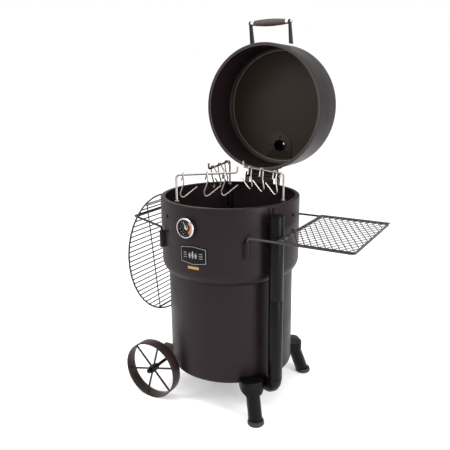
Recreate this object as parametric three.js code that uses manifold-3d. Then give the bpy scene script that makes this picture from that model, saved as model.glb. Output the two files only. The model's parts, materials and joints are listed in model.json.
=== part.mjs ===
import * as THREE from 'three';
import { mergeVertices } from 'three/addons/utils/BufferGeometryUtils.js';
import Module from 'manifold-3d';

// Charcoal drum smoker on two legs and two wagon wheels, with its lid open.
// Millimetres, +Z up, drum axis on Z, ground at Z = 0 until the last lines centre the object.
// Front (thermometer, lid handle) is -Y, lid hinge is +Y, shelf is +X, wheels are -X.
// Angles round the drum are measured from the front towards the shelf.

const wasm = await Module();
wasm.setup();

// ---- Driving dimensions ----
const rimZ = 766;
const collarR = 254;
const barrelR = 231.5;
const mouthR = 237;
const collarLength = 230;
const shoulderLength = 42;
const barrelBottomZ = 118;
const sheet = 2;
const gap = 0.4;
const drumSides = 44;

const lidR = 246;
const lidDepth = 182;
const lidFlangeR = 234;
const gasketThickness = 4;
const hingeY = 268;
const hingeRise = 27;
const lidOpen = THREE.MathUtils.degToRad(91.3);

const wheelR = 110;
const wheelWidth = 42;
const wheelX = -212;
const wheelY = 232;

const shelfReach = 536;
const shelfHalfWidth = 195;
const accessoryZ = rimZ - 97;
const sleeveR = 263.5;

const pipeAngle = 61.5;
const pipeStandR = 290;
const pipeOuterR = 25;

const barStandR = 214;
const barRodR = 4;
const barArmZ = rimZ + 89;
const barArmLength = 215;

const shoulderTopZ = rimZ - collarLength;
const hingeZ = rimZ + hingeRise;
const lidSeatZ = rimZ + gasketThickness + 2 * gap;
const lidTopZ = lidSeatZ + lidDepth;
const floorZ = barrelBottomZ + 17;
const pipeTopZ = rimZ - 26;
const pipeUnderZ = barrelBottomZ - 10.5;
const airHoleR = 186;
const thermoZ = rimZ - 70;
const thermoAngle = -4;
const probeBossR = 6;

// ---- Materials ----
const finish = (color, roughness, metalness) => (
  new THREE.MeshStandardMaterial({ color, roughness, metalness })
);
const drumPaint = finish(0x3a3030, 0.5, 0.3);
const blackPaint = finish(0x202222, 0.45, 0.3);
const wheelPaint = finish(0x2d1e1c, 0.5, 0.3);
const rodCoat = finish(0x3c3838, 0.45, 0.4);
const steelWire = finish(0xb0aaa6, 0.3, 0.9);
const chrome = finish(0xd8d8d8, 0.15, 1);
const brass = finish(0xb89050, 0.35, 0.9);
const gripBrown = finish(0x3e2a28, 0.6, 0);
const ropeSeal = finish(0x5a5650, 0.95, 0);
const needlePaint = finish(0xf0f0f0, 0.5, 0);
const clearGlass = finish(0xe8f0f0, 0.05, 0);
const enamel = finish(0x181818, 0.3, 0.1);
const rubber = finish(0x1a1a1a, 0.9, 0);

// ---- Geometry helpers ----
const degrees = THREE.MathUtils.degToRad;
const point = (x, y, z) => new THREE.Vector3(x, y, z);

// Point at a radius and an angle round the drum.
const around = (angle, radius, z) => (
  point(radius * Math.sin(degrees(angle)), -radius * Math.cos(degrees(angle)), z)
);

// Points of an arc in a plane, both ends included.
function arc(centreX, centreY, radiusX, radiusY, fromAngle, toAngle, steps) {
  const points = [];
  for (let i = 0; i <= steps; i += 1) {
    const angle = degrees(fromAngle + (toAngle - fromAngle) * i / steps);
    points.push([centreX + radiusX * Math.cos(angle), centreY + radiusY * Math.sin(angle)]);
  }
  return points;
}

// Position-only geometry with shared vertices, no collapsed triangles and faces that point out.
function weld(source) {
  const plain = source.clone();
  plain.deleteAttribute('normal');
  plain.deleteAttribute('uv');
  const merged = mergeVertices(plain, 1e-4);
  const corners = merged.attributes.position;
  const kept = [];
  let volume = 0;
  for (let i = 0; i < merged.index.count; i += 3) {
    const [a, b, c] = [0, 1, 2].map((k) => merged.index.getX(i + k));
    if (a === b || b === c || c === a) continue;
    kept.push(a, b, c);
    const [p, q, r] = [a, b, c].map((k) => new THREE.Vector3().fromBufferAttribute(corners, k));
    volume += p.dot(q.cross(r));
  }
  merged.setIndex(volume < 0 ? kept.reverse() : kept);
  return merged;
}

function toSolid(geometry) {
  const welded = weld(geometry);
  return new wasm.Manifold(new wasm.Mesh({
    numProp: 3,
    vertProperties: new Float32Array(welded.attributes.position.array),
    triVerts: new Uint32Array(welded.index.array),
  }));
}

function fromSolid(solid) {
  const mesh = solid.getMesh();
  const geometry = new THREE.BufferGeometry();
  geometry.setAttribute('position', new THREE.BufferAttribute(new Float32Array(mesh.vertProperties), 3));
  geometry.setIndex(new THREE.BufferAttribute(new Uint32Array(mesh.triVerts), 1));
  geometry.computeVertexNormals();
  return geometry;
}

const join = (...pieces) => fromSolid(pieces.map(toSolid).reduce((sum, piece) => sum.add(piece)));
const cut = (base, ...tools) => (
  fromSolid(tools.map(toSolid).reduce((rest, tool) => rest.subtract(tool), toSolid(base)))
);
const overlap = (base, tool) => fromSolid(toSolid(base).intersect(toSolid(tool)));

// Profile of [radius, z] points turned round the Z axis.
function turned(profile, sides) {
  const outline = profile.map(([radius, z]) => new THREE.Vector2(radius, z));
  return weld(new THREE.LatheGeometry(outline, sides).rotateX(Math.PI / 2));
}

// Ring or disc with a rectangular section; innerR 0 makes a disc.
function ring(innerR, outerR, lowZ, highZ, sides) {
  if (innerR === 0) {
    return turned([[0, lowZ], [outerR, lowZ], [outerR, highZ], [0, highZ]], sides);
  }
  return turned([[innerR, lowZ], [outerR, lowZ], [outerR, highZ], [innerR, highZ], [innerR, lowZ]], sides);
}

const box = (x, y, z, centre) => new THREE.BoxGeometry(x, y, z).translate(centre.x, centre.y, centre.z);

// Cylinder between two points.
function rod(from, to, radius, sides) {
  const axis = to.clone().sub(from);
  const turn = new THREE.Quaternion().setFromUnitVectors(point(0, 1, 0), axis.clone().normalize());
  const middle = from.clone().add(to).multiplyScalar(0.5);
  return new THREE.CylinderGeometry(radius, radius, axis.length(), sides)
    .applyQuaternion(turn)
    .translate(middle.x, middle.y, middle.z);
}

// Path whose points are used exactly as given.
class PointPath extends THREE.Curve {
  constructor(points) {
    super();
    this.points = points;
  }

  getPoint(t) {
    const place = Math.min(Math.max(t, 0), 1) * (this.points.length - 1);
    const index = Math.min(Math.floor(place), this.points.length - 2);
    return this.points[index].clone().lerp(this.points[index + 1], place - index);
  }

  getUtoTmapping(u) {
    return u;
  }
}

// Corner points replaced by arcs of the given bend radius.
function roundCorners(corners, bendR, stepAngle) {
  const path = [corners[0]];
  for (let i = 1; i < corners.length - 1; i += 1) {
    const before = corners[i - 1].clone().sub(corners[i]).normalize();
    const after = corners[i + 1].clone().sub(corners[i]).normalize();
    const turn = Math.PI - before.angleTo(after);
    const start = corners[i].clone().addScaledVector(before, bendR * Math.tan(turn / 2));
    const inward = before.clone().add(after).normalize();
    const centre = corners[i].clone().addScaledVector(inward, bendR / Math.cos(turn / 2));
    const steps = Math.max(2, Math.round(turn / degrees(stepAngle)));
    const axis = after.clone().cross(before).normalize();
    for (let k = 0; k <= steps; k += 1) {
      const spoke = start.clone().sub(centre).applyAxisAngle(axis, turn * k / steps);
      path.push(centre.clone().add(spoke));
    }
  }
  path.push(corners[corners.length - 1]);
  return path.filter((place, i) => i === 0 || place.distanceTo(path[i - 1]) > 0.05);
}

function sweep(points, radius, sides) {
  const section = arc(0, 0, radius, radius, 0, 360, sides).slice(0, sides);
  const shape = new THREE.Shape(section.map(([x, y]) => new THREE.Vector2(x, y)));
  const path = new PointPath(points);
  const options = { steps: points.length - 1, bevelEnabled: false, extrudePath: path };
  return weld(new THREE.ExtrudeGeometry(shape, options));
}

const bentRod = (corners, bendR, radius, sides, stepAngle = 30) => (
  sweep(roundCorners(corners, bendR, stepAngle), radius, sides)
);

// Outline of [x, y] points extruded along +Z from lowZ to highZ.
function slab(outline, lowZ, highZ, holes = []) {
  const shape = new THREE.Shape(outline.map(([x, y]) => new THREE.Vector2(x, y)));
  shape.holes = holes.map((hole) => new THREE.Path(hole.map(([x, y]) => new THREE.Vector2(x, y))));
  const body = new THREE.ExtrudeGeometry(shape, { depth: highZ - lowZ, bevelEnabled: false });
  return weld(body.translate(0, 0, lowZ));
}

// Turns a shape made in the XY plane, thickness along Z, to stand with its x along X and its y along Z.
const stand = (geometry) => geometry.rotateX(Math.PI / 2);

// The same, with its x along Y and its y along Z.
const standSideways = (geometry) => stand(geometry).rotateZ(Math.PI / 2);

// Moves a shape made at the front of the drum round to an angle.
const turnRound = (geometry, angle) => geometry.rotateZ(degrees(angle));

const smoker = new THREE.Group();
const lidInner = new THREE.Group();

function place(parent, name, geometry, material) {
  const mesh = new THREE.Mesh(weld(geometry), material);
  mesh.name = name;
  parent.add(mesh);
}

const sides = [['front', -1], ['rear', 1]];

// ---- Drum ----
const bars = [
  { name: 'left', angle: -30, hooks: [24, 107, 168] },
  { name: 'right', angle: 90, hooks: [43, 112, 176] },
  { name: 'rear', angle: 210, hooks: [36, 108, 176] },
];
const barScrewDepths = [52, 108];
const barStudR = 3;

function shoulder(offset) {
  const sweepAngle = 65;
  const radiusX = (collarR - barrelR) / (1 - Math.cos(degrees(sweepAngle)));
  const radiusZ = shoulderLength / Math.sin(degrees(sweepAngle));
  return arc(collarR - offset - radiusX, shoulderTopZ, radiusX, radiusZ, -sweepAngle, 0, 4);
}

// Floor, straight wall and the short skirt they stand on, open at the top.
function drumBarrel() {
  const chimeR = 14;
  const wallR = barrelR - sheet;
  const chimeCentre = [barrelR - chimeR, barrelBottomZ + chimeR];
  const topZ = shoulderTopZ - shoulderLength - gap;
  const shell = turned([
    [0, floorZ - sheet],
    [wallR, floorZ - sheet],
    ...arc(...chimeCentre, chimeR - sheet, chimeR - sheet, 0, -90, 2),
    ...arc(...chimeCentre, chimeR, chimeR, -90, 0, 2),
    [barrelR, topZ],
    [wallR, topZ],
    [wallR, floorZ],
    [0, floorZ],
  ], drumSides);
  const notchStart = around(pipeAngle, barrelR + 30, pipeUnderZ);
  const pipeNotch = rod(notchStart, around(pipeAngle, airHoleR, pipeUnderZ), pipeOuterR + 1.5, 16);
  const airHoleLow = around(pipeAngle, airHoleR, floorZ - 8);
  const airHole = rod(airHoleLow, around(pipeAngle, airHoleR, floorZ + 4), 25, 16);
  return cut(shell, pipeNotch, airHole);
}

// Wider upper ring, welded on the barrel by its shoulder, with a lip turned in at the rim.
function drumCollar() {
  const shell = turned([
    ...shoulder(0),
    [collarR, rimZ],
    [mouthR, rimZ],
    [mouthR, rimZ - sheet],
    [collarR - sheet, rimZ - sheet],
    ...shoulder(sheet).reverse(),
    shoulder(0)[0],
  ], drumSides);
  const throughWall = (z, radius, steps) => (
    rod(point(0, -collarR - 6, z), point(0, -collarR + 10, z), radius, steps)
  );
  const studHoles = bars.flatMap((bar) => barScrewDepths.map((depth) => (
    turnRound(throughWall(rimZ - depth, barStudR + gap, 8), bar.angle)
  )));
  const probeHole = turnRound(throughWall(thermoZ, probeBossR + gap, 12), thermoAngle);
  return cut(shell, ...studHoles, probeHole);
}

// ---- Air intake: a stand pipe that turns under the drum floor, with a rotary damper on top ----
const pipeEndR = 165;
const pipeBendR = 46;
const elbowTopZ = pipeUnderZ + pipeBendR + 4;
const pipeJointZ = (elbowTopZ + pipeTopZ) / 2;
const damperWindow = { inner: 7, outer: 16, sweep: 50 };
const damperPivotR = 2.6;

// Sector-shaped windows, two of them, facing each other.
function windows(lowZ, highZ) {
  return [0, 180].map((start) => {
    const outer = arc(0, 0, damperWindow.outer, damperWindow.outer, start, start + damperWindow.sweep, 2);
    const inner = arc(0, 0, damperWindow.inner, damperWindow.inner, start + damperWindow.sweep, start, 1);
    return slab([...outer, ...inner], lowZ, highZ);
  });
}

function intakePipe() {
  const bore = pipeOuterR - sheet;
  const route = [
    around(pipeAngle, pipeStandR, pipeTopZ),
    around(pipeAngle, pipeStandR, pipeUnderZ),
    around(pipeAngle, pipeEndR, pipeUnderZ),
  ];
  const inside = [
    around(pipeAngle, pipeStandR, pipeTopZ - sheet),
    around(pipeAngle, pipeStandR, pipeUnderZ),
    around(pipeAngle, pipeEndR + sheet, pipeUnderZ),
  ];
  const onPipeAxis = (tool) => tool.rotateZ(degrees(pipeAngle)).translate(route[0].x, route[0].y, 0);
  const topWindows = windows(pipeTopZ - 6, pipeTopZ + 4).map(onPipeAxis);
  const pivotHole = onPipeAxis(ring(0, damperPivotR + 2 * gap, pipeTopZ - 8, pipeTopZ + 4, 8));
  const outletLow = around(pipeAngle, airHoleR, pipeUnderZ);
  const outlet = rod(outletLow, around(pipeAngle, airHoleR, pipeUnderZ + 40), 15, 16);
  return cut(
    bentRod(route, pipeBendR, pipeOuterR, 16, 22.5),
    bentRod(inside, pipeBendR, bore, 16, 22.5),
    ...topWindows,
    outlet,
    pivotHole,
  );
}

// The stretch of the pipe between two heights.
function pipeStretch(lowZ, highZ) {
  const slice = box(1000, 1000, highZ - lowZ, point(0, 0, (lowZ + highZ) / 2));
  return overlap(intakePipe(), slice);
}

// Slotted disc on a short pivot, with a finger post near its edge.
function damperDisc(radius) {
  const disc = cut(ring(0, radius, 0, 2.5, 20), ...windows(-1, 4));
  const pivot = ring(0, damperPivotR, -9, 7, 8);
  const postY = radius - 4.5;
  const post = ring(0, 3, 1, 18, 8).translate(0, postY, 0);
  const knob = ring(0, 4.4, 15, 24, 8).translate(0, postY, 0);
  return join(disc, pivot, post, knob);
}

function intakeBracket() {
  const height = 70;
  const centre = point(0, -collarR - 12, pipeTopZ - 75);
  const block = box(26, 44, height, centre);
  const window = box(18, 60, height - 16, centre);
  const drumSpace = ring(0, collarR + gap, 0, rimZ, 96);
  const pipeSpace = ring(0, pipeOuterR + gap, 0, rimZ, 20).translate(0, -pipeStandR, 0);
  return turnRound(cut(block, drumSpace, pipeSpace, window), pipeAngle);
}

// ---- Thermometer ----
const thermoR = 35.5;
const dialY = -collarR - 9;

// Turns a shape made about Z to face out of the drum, at the thermometer's height and angle.
function facing(geometry, y) {
  return turnRound(geometry.rotateX(Math.PI / 2).translate(0, y, thermoZ), thermoAngle);
}

// Round case whose recessed face is the dial, with a probe that reaches into the drum.
function thermometerCase() {
  const bezel = turned([
    [0, 0], [thermoR - 3, 0], [thermoR, 4], [thermoR, 15], [thermoR - 2, 18], [thermoR - 5, 18],
    [thermoR - 5, 8], [0, 8],
  ], 24);
  const boss = rod(point(0, 0, 1), point(0, 0, -10), probeBossR, 12);
  const stem = rod(point(0, 0, -8), point(0, 0, -70), 3, 8);
  return facing(join(bezel, boss, stem), -collarR - 1);
}

function thermometerNeedle() {
  const blade = slab([[-1.6, -8], [1.6, -8], [0.5, 23], [-0.5, 23]], 1.2, 2);
  return facing(join(blade, ring(0, 3, 1.2, 2.6, 12)).rotateZ(degrees(28)), dialY - 1);
}

// ---- Badge: a blank six-sided plate and a small tag under it ----
const badgeZ = rimZ - 166;
const badgeOutline = [[-53, -28], [0, -35], [53, -28], [53, 28], [0, 35], [-53, 28]];
const tagZ = rimZ - 210;
const tagOutline = [[-22, -5], [22, -5], [22, 5], [-22, 5]];

function curvedPlate(outline, centreZ, thickness) {
  const block = stand(slab(outline, 0, collarR + 40)).translate(0, 0, centreZ);
  const skinR = collarR + gap;
  return overlap(block, ring(skinR, skinR + thickness, rimZ - collarLength, rimZ, 96));
}

// ---- Legs ----
const legAngles = { front: 45.8, rear: 134.2 };
const legTopR = 257;
const legFootR = 303;
const legTubeR = 25;
const legBlockTopZ = barrelBottomZ + 29;

const legAxisPoint = (z) => {
  const run = (legFootR - legTopR) / (legBlockTopZ - 20);
  return point(0, -(legFootR - run * z), z);
};

function legWithBracket(angle) {
  const tube = rod(legAxisPoint(4), legAxisPoint(legBlockTopZ - 12), legTubeR, 16);
  const bore = rod(legAxisPoint(-8), legAxisPoint(legBlockTopZ - 22), legTubeR - 2.5, 16);
  const noseY = -legTopR - 5;
  const noseR = 24;
  const shoulderX = 17;
  const plan = [
    ...arc(-shoulderX, noseY, noseR, noseR, 180, 270, 4),
    ...arc(shoulderX, noseY, noseR, noseR, 270, 360, 4),
    [36, -222], [30, -200], [-30, -200], [-36, -222],
  ];
  const block = slab(plan, barrelBottomZ - 24, legBlockTopZ);
  const taper = stand(slab([
    [-50, legBlockTopZ + 1], [-50, barrelBottomZ + 2], [-26, barrelBottomZ - 22],
    [26, barrelBottomZ - 22], [50, barrelBottomZ + 2], [50, legBlockTopZ + 1],
  ], 0, 400));
  const drumSpace = ring(0, barrelR + gap, barrelBottomZ - gap, rimZ, 96);
  const tubeEndZ = 6;
  const belowTube = box(200, 800, 40, point(0, 0, tubeEndZ - 20));
  return turnRound(cut(join(overlap(block, taper), tube), bore, drumSpace, belowTube), angle);
}

function footCap(angle) {
  const outer = turned([[0, 0], [27, 0], [29.5, 3], [29.5, 9], [27.5, 16], [0, 16]], 16);
  const foot = legAxisPoint(0);
  const cap = outer.translate(0, foot.y, 0);
  const socket = rod(legAxisPoint(3), legAxisPoint(40), legTubeR + gap, 16);
  return turnRound(cut(cap, socket), angle);
}

// ---- Wheels and axle ----
const axleR = 6.5;
const axleZ = wheelR;

function wheel() {
  const bandThickness = 4;
  const hub = ring(0, 14, -14, 14, 16);
  const band = ring(wheelR - bandThickness, wheelR, -wheelWidth / 2, wheelWidth / 2, 36);
  const phase = 14;
  const spokes = [0, 60, 120].map((angle) => (
    rod(point(2 - wheelR, 0, 0), point(wheelR - 2, 0, 0), 3.8, 8).rotateZ(degrees(angle + phase))
  ));
  const bore = ring(0, axleR + gap, -20, 20, 16);
  return cut(join(band, hub, ...spokes), bore).rotateX(Math.PI / 2);
}

// Domed nut that closes an end of the axle.
function axleNut(side) {
  const near = wheelY + 15;
  const nut = rod(point(wheelX, side * near, axleZ), point(wheelX, side * (near + 9), axleZ), 10, 6);
  const domeStart = point(wheelX, side * (near + 8), axleZ);
  return join(nut, rod(domeStart, point(wheelX, side * (near + 14), axleZ), 8.5, 12));
}

function axle() {
  const half = wheelY + 22;
  const shaft = rod(point(wheelX, -half, axleZ), point(wheelX, half, axleZ), axleR, 16);
  const collars = [-1, 1].map((side) => rod(
    point(wheelX, side * (wheelY - 15), axleZ), point(wheelX, side * (wheelY - 24), axleZ), 11, 16,
  ));
  return join(shaft, ...collars, axleNut(-1), axleNut(1));
}

function axleBracket(side) {
  const plateY = 130;
  const outline = [
    [wheelX - 30, axleZ + 46], [wheelX - 16, axleZ - 10], [wheelX - 8, axleZ - 16],
    [wheelX + 8, axleZ - 16], [wheelX + 16, axleZ - 10], [wheelX + 32, axleZ + 46],
  ];
  const plate = stand(slab(outline, -3, 3)).translate(0, side * plateY, 0);
  const footPlate = box(62, 26, 5, point(wheelX + 1, side * (plateY - 13), axleZ + 43.5));
  const drumSpace = ring(0, barrelR + gap, barrelBottomZ - gap, rimZ, 96);
  const hole = rod(point(wheelX, side * 100, axleZ), point(wheelX, side * 160, axleZ), axleR + gap, 16);
  return cut(join(plate, footPlate), drumSpace, hole);
}

// ---- Shelf and grate hanger, both dropped into sleeves on the collar ----
const sleeveAngles = { shelf: 42, hanger: -38 };
const sleeveTopZ = accessoryZ - 13;
const sleeveBottomZ = accessoryZ - 74;
const shelfCrossX = 286;
const hangerCorner = point(-350, 126, accessoryZ);
const dropRodR = 4;

function sleeve(angle) {
  const tube = ring(0, 8, sleeveBottomZ, sleeveTopZ, 16).translate(0, -sleeveR, 0);
  const middleZ = (sleeveTopZ + sleeveBottomZ) / 2;
  const strap = box(22, 10, sleeveTopZ - sleeveBottomZ - 8, point(0, -collarR - 2.5, middleZ));
  const bore = ring(0, dropRodR + gap, sleeveBottomZ + 6, sleeveTopZ + 5, 16).translate(0, -sleeveR, 0);
  const drumSpace = ring(0, collarR + gap, 0, rimZ, 96);
  return turnRound(cut(join(tube, strap), drumSpace, bore), angle);
}

function shelfFrame() {
  const drop = around(sleeveAngles.shelf, sleeveR, sleeveBottomZ + 8);
  const corners = [
    drop,
    point(drop.x, drop.y, accessoryZ),
    point(shelfReach, drop.y, accessoryZ),
    point(shelfReach, -drop.y, accessoryZ),
    point(drop.x, -drop.y, accessoryZ),
    point(drop.x, -drop.y, drop.z),
  ];
  const outer = bentRod(corners, 12, dropRodR, 8, 30);
  const crossEnd = point(shelfCrossX, drop.y, accessoryZ);
  const cross = rod(crossEnd, point(shelfCrossX, -drop.y, accessoryZ), dropRodR, 8);
  return join(outer, cross);
}

// Expanded-metal sheet with diamond openings and a plain border.
function shelfMesh() {
  const lowX = shelfCrossX - 5;
  const highX = shelfReach + 5;
  const halfY = shelfHalfWidth + 4;
  const border = 12;
  const columns = 5;
  const rows = 8;
  const strand = 3;
  const cellX = (highX - lowX - 2 * border) / columns;
  const cellY = (2 * (halfY - border)) / rows;
  const holes = [];
  for (let i = 0; i < 2 * columns - 1; i += 1) {
    const shifted = i % 2;
    for (let k = 0; k < rows - shifted; k += 1) {
      const x = lowX + border + cellX * (i + 1) / 2;
      const y = -halfY + border + cellY * (k + 0.5 + shifted / 2);
      const halfWidth = cellX / 2 - strand;
      const halfHeight = cellY / 2 - strand;
      holes.push([[x - halfWidth, y], [x, y - halfHeight], [x + halfWidth, y], [x, y + halfHeight]]);
    }
  }
  const low = accessoryZ + dropRodR + gap;
  const outline = [[lowX, -halfY], [highX, -halfY], [highX, halfY], [lowX, halfY]];
  return slab(outline, low, low + 1.6, holes);
}

function hangerRod() {
  const drop = around(sleeveAngles.hanger, sleeveR, sleeveBottomZ + 8);
  const corner = hangerCorner;
  return bentRod([
    drop,
    point(drop.x, drop.y, accessoryZ),
    point(corner.x, -corner.y, accessoryZ),
    point(corner.x, corner.y, accessoryZ),
    point(drop.x, -drop.y, accessoryZ),
    point(drop.x, -drop.y, drop.z),
  ], 9, dropRodR, 8, 30);
}

// ---- Cooking grate, hung on the hanger's two arms ----
const grateR = 233.5;
const grateWireR = 2.4;
const grateLean = Math.atan(0.1);
const grateCentre = point(-300, 0, rimZ - 264.2);

function cookingGrate() {
  const ringWireR = 3.4;
  const pitch = 17.5;
  const loopX = 90;
  const loopY = 205;
  const rim = new THREE.TorusGeometry(grateR - ringWireR, ringWireR, 6, 36);
  const wires = [];
  for (let k = -12; k <= 12; k += 1) {
    const half = Math.sqrt((grateR - ringWireR) ** 2 - (k * pitch) ** 2) + 1;
    wires.push(rod(point(-half, k * pitch, 0), point(half, k * pitch, 0), grateWireR, 6));
  }
  const loopHeight = 4.2;
  const corners = [[-loopX, -loopY], [-loopX, loopY], [loopX, loopY], [loopX, -loopY]];
  const loop = corners.map(([x, y], i) => {
    const [nextX, nextY] = corners[(i + 1) % corners.length];
    return rod(point(x, y, loopHeight), point(nextX, nextY, loopHeight), grateWireR, 6);
  });
  const feet = corners.map(([x, y]) => (
    ring(0, grateWireR + 0.3, 0.5, loopHeight + grateWireR, 8).translate(x, y, 0)
  ));
  const flat = join(rim, ...wires, ...loop, ...feet);
  // The flat grate's x becomes Y and its y becomes Z; then it leans in at the bottom.
  return flat.rotateX(Math.PI / 2).rotateZ(Math.PI / 2).rotateY(-grateLean)
    .translate(grateCentre.x, grateCentre.y, grateCentre.z);
}

// ---- Hanging bars and meat hooks ----
const barTurn = -21;
const upperGuideZ = rimZ - 13;
const lowerGuideZ = rimZ - 102;
const hookWireR = 2.5;
const hookLoopR = barRodR + hookWireR + 0.5;

function hangingBar(bar) {
  const foot = around(bar.angle, barStandR, lowerGuideZ - 14);
  const heading = bar.angle + 90 + barTurn;
  const along = point(Math.cos(degrees(heading)), Math.sin(degrees(heading)), 0);
  const top = point(foot.x, foot.y, barArmZ);
  const end = top.clone().addScaledVector(along, barArmLength);
  const tip = point(end.x, end.y, barArmZ + 22);
  const body = bentRod([foot, top, end, tip], 11, barRodR, 8, 30);
  const collar = ring(barRodR - 1, 8, upperGuideZ + 6 + gap, upperGuideZ + 12, 12)
    .translate(foot.x, foot.y, 0);
  return { body: join(body, collar), top, along };
}

function barBracket(bar) {
  const centreZ = (upperGuideZ + lowerGuideZ) / 2;
  const plate = box(22, 3, upperGuideZ - lowerGuideZ + 16, point(0, -collarR + 5.5, centreZ));
  const guides = [upperGuideZ, lowerGuideZ].flatMap((z) => {
    const [armInnerR, armOuterR] = [barStandR + 6, collarR - 5];
    const arm = box(9, armOuterR - armInnerR, 12, point(0, -(armOuterR + armInnerR) / 2, z));
    const loop = ring(barRodR + gap, 9, z - 6, z + 6, 12).translate(0, -barStandR, 0);
    return [cut(arm, ring(0, 7, z - 8, z + 8, 16).translate(0, -barStandR, 0)), loop];
  });
  const studs = barScrewDepths.flatMap((depth) => {
    const z = rimZ - depth;
    return [
      rod(point(0, -collarR + 5, z), point(0, -collarR - 2, z), barStudR, 8),
      rod(point(0, -collarR - gap, z), point(0, -collarR - 3, z), 6, 8),
    ];
  });
  return turnRound(join(plate, ...guides, ...studs), bar.angle);
}

// Wire over the arm, down the far side, round a V and up to a long point towards the arm's tip.
function meatHook(bar, station) {
  const { top, along } = hangingBar(bar);
  const across = point(-along.y, along.x, 0);
  const spot = (u, v, w) => top.clone().addScaledVector(along, station + u).addScaledVector(across, v)
    .add(point(0, 0, w));
  const over = [spot(-5, hookLoopR + 9, -22), spot(0, hookLoopR, -3)];
  const arch = arc(0, 0, hookLoopR, hookLoopR, 0, 180, 4).map(([v, w]) => spot(0, v, w));
  const shank = [spot(0, -hookLoopR, -3), spot(1, -4, -30), spot(-12, 0, -66)];
  const bend = [spot(-9, 0, -77), spot(-2, 0, -80)];
  const reach = [spot(6, 0, -76), spot(48, 0, -44)];
  return sweep([...over, ...arch, ...shank, ...bend, ...reach], hookWireR, 5);
}

// ---- Ash pan, charcoal basket and heat diffuser ----
const panR = 205;
const basketR = 178;
const basketHeight = 150;
const panFeet = 14;
const panZ = floorZ + gap + panFeet;
const basketZ = panZ + 2 + gap;
const bailZ = basketZ + basketHeight + 7;

function ashPan() {
  const dish = turned([
    [0, panZ], [panR - 12, panZ], [panR, panZ + 30], [panR - 2.5, panZ + 30],
    [panR - 13.5, panZ + 2], [0, panZ + 2],
  ], 28);
  const feet = [0, 120, 240].map((angle) => {
    const spot = around(angle, panR - 30, 0);
    return ring(0, 9, panZ - panFeet, panZ + 1, 8).translate(spot.x, spot.y, 0);
  });
  return join(dish, ...feet);
}

function charcoalBasket() {
  const wall = turned([
    [0, basketZ + 12], [basketR - 3, basketZ + 12], [basketR - 3, basketZ], [basketR, basketZ],
    [basketR, basketZ + basketHeight], [basketR - 3, basketZ + basketHeight],
    [basketR - 3, basketZ + 15], [0, basketZ + 15],
  ], 24);
  const slots = [22.5, 67.5, 112.5, 157.5].map((angle) => (
    turnRound(box(12, 2 * basketR + 20, 96, point(0, 0, basketZ + 76)), angle)
  ));
  for (let i = -3; i <= 3; i += 1) {
    slots.push(box(16, 250, 12, point(i * 36, 0, basketZ + 13)));
  }
  const ears = [-1, 1].map((side) => (
    box(3, 24, 30, point(side * (basketR - 5.5), 0, basketZ + basketHeight + 1))
  ));
  const pins = rod(point(-basketR, 0, bailZ), point(basketR, 0, bailZ), 4.4, 12);
  return cut(join(cut(wall, ...slots), ...ears), pins);
}

// Half-round bail with turned-out ends, lying on the basket's rim.
function basketBail() {
  const bailR = basketR - 14;
  const hoop = arc(0, 0, bailR, bailR, 0, 180, 16).map(([x, y]) => point(x, y, bailZ));
  const end = basketR + 2;
  return sweep([point(end, 0, bailZ), ...hoop, point(-end, 0, bailZ)], 4, 6);
}

// Solid plate that turns smoke out to the wall; its three arms rest on the drum's shoulder.
function heatDiffuser() {
  const plateR = 200;
  const armR = 238;
  const seatZ = shoulderTopZ - 33;
  const thickness = 2.5;
  const [armStart, armEnd] = [plateR - 20, armR];
  const armCentre = point(0, -(armStart + armEnd) / 2, seatZ + thickness / 2);
  const arms = [30, 150, 270].map((angle) => (
    turnRound(box(22, armEnd - armStart, thickness, armCentre), angle)
  ));
  return join(ring(0, plateR, seatZ, seatZ + thickness, 32), ...arms);
}

// ---- Lid, modelled closed ----
const exhaustY = 163;
const exhaustBoreR = 25;
const stackHeight = 62;
const handleZ = rimZ + 67;
const handleY = -lidR - 76;
const strapX = 84;
const handleRodR = 5;
const strapLean = 18;

function lidShell() {
  const cornerR = 20;
  const wallR = lidR - sheet;
  const centre = [lidR - cornerR, lidTopZ - cornerR];
  const shell = turned([
    [0, lidTopZ - sheet],
    ...arc(...centre, cornerR - sheet, cornerR - sheet, 90, 0, 3),
    [wallR, lidSeatZ + sheet],
    [lidFlangeR, lidSeatZ + sheet],
    [lidFlangeR, lidSeatZ],
    [lidR, lidSeatZ],
    ...arc(...centre, cornerR, cornerR, 0, 90, 3),
    [0, lidTopZ],
  ], drumSides);
  return cut(shell, ring(0, exhaustBoreR, lidTopZ - 10, lidTopZ + 10, 20).translate(0, exhaustY, 0));
}

function exhaustStack() {
  const low = lidTopZ + gap;
  const top = low + stackHeight;
  const body = turned([
    [0, top - 3], [exhaustBoreR, top - 3], [exhaustBoreR, low], [50, low], [50, low + 4],
    [exhaustBoreR + 3, low + 4], [exhaustBoreR + 3, top], [0, top],
  ], 24);
  const pivotHole = ring(0, damperPivotR + 2 * gap, top - 8, top + 4, 8);
  return cut(body, ...windows(top - 6, top + 2), pivotHole).translate(0, exhaustY, 0);
}

// D-shaped clamp plate inside the lid with three bolt heads.
function exhaustDoubler() {
  const plateR = 56;
  const low = lidTopZ - sheet - gap - 3;
  const outline = [...arc(0, 0, plateR, plateR, 180, 360, 12), [plateR, 48], [-plateR, 48]];
  const hole = arc(0, 0, exhaustBoreR, exhaustBoreR, 0, 360, 20).slice(0, 20);
  const plate = slab(outline, low, low + 3, [hole]);
  const lip = ring(exhaustBoreR, exhaustBoreR + 4, low - 4, low + 1, 20);
  const bolts = [0, 120, 240].map((angle) => {
    const spot = around(angle, 40, 0);
    return ring(0, 5, low - 4, low + 1, 6).translate(spot.x, spot.y, 0);
  });
  const trim = ring(0, lidR - sheet - 19, 0, 2000, 96);
  return overlap(join(plate, lip, ...bolts).translate(0, exhaustY, 0), trim);
}

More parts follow.
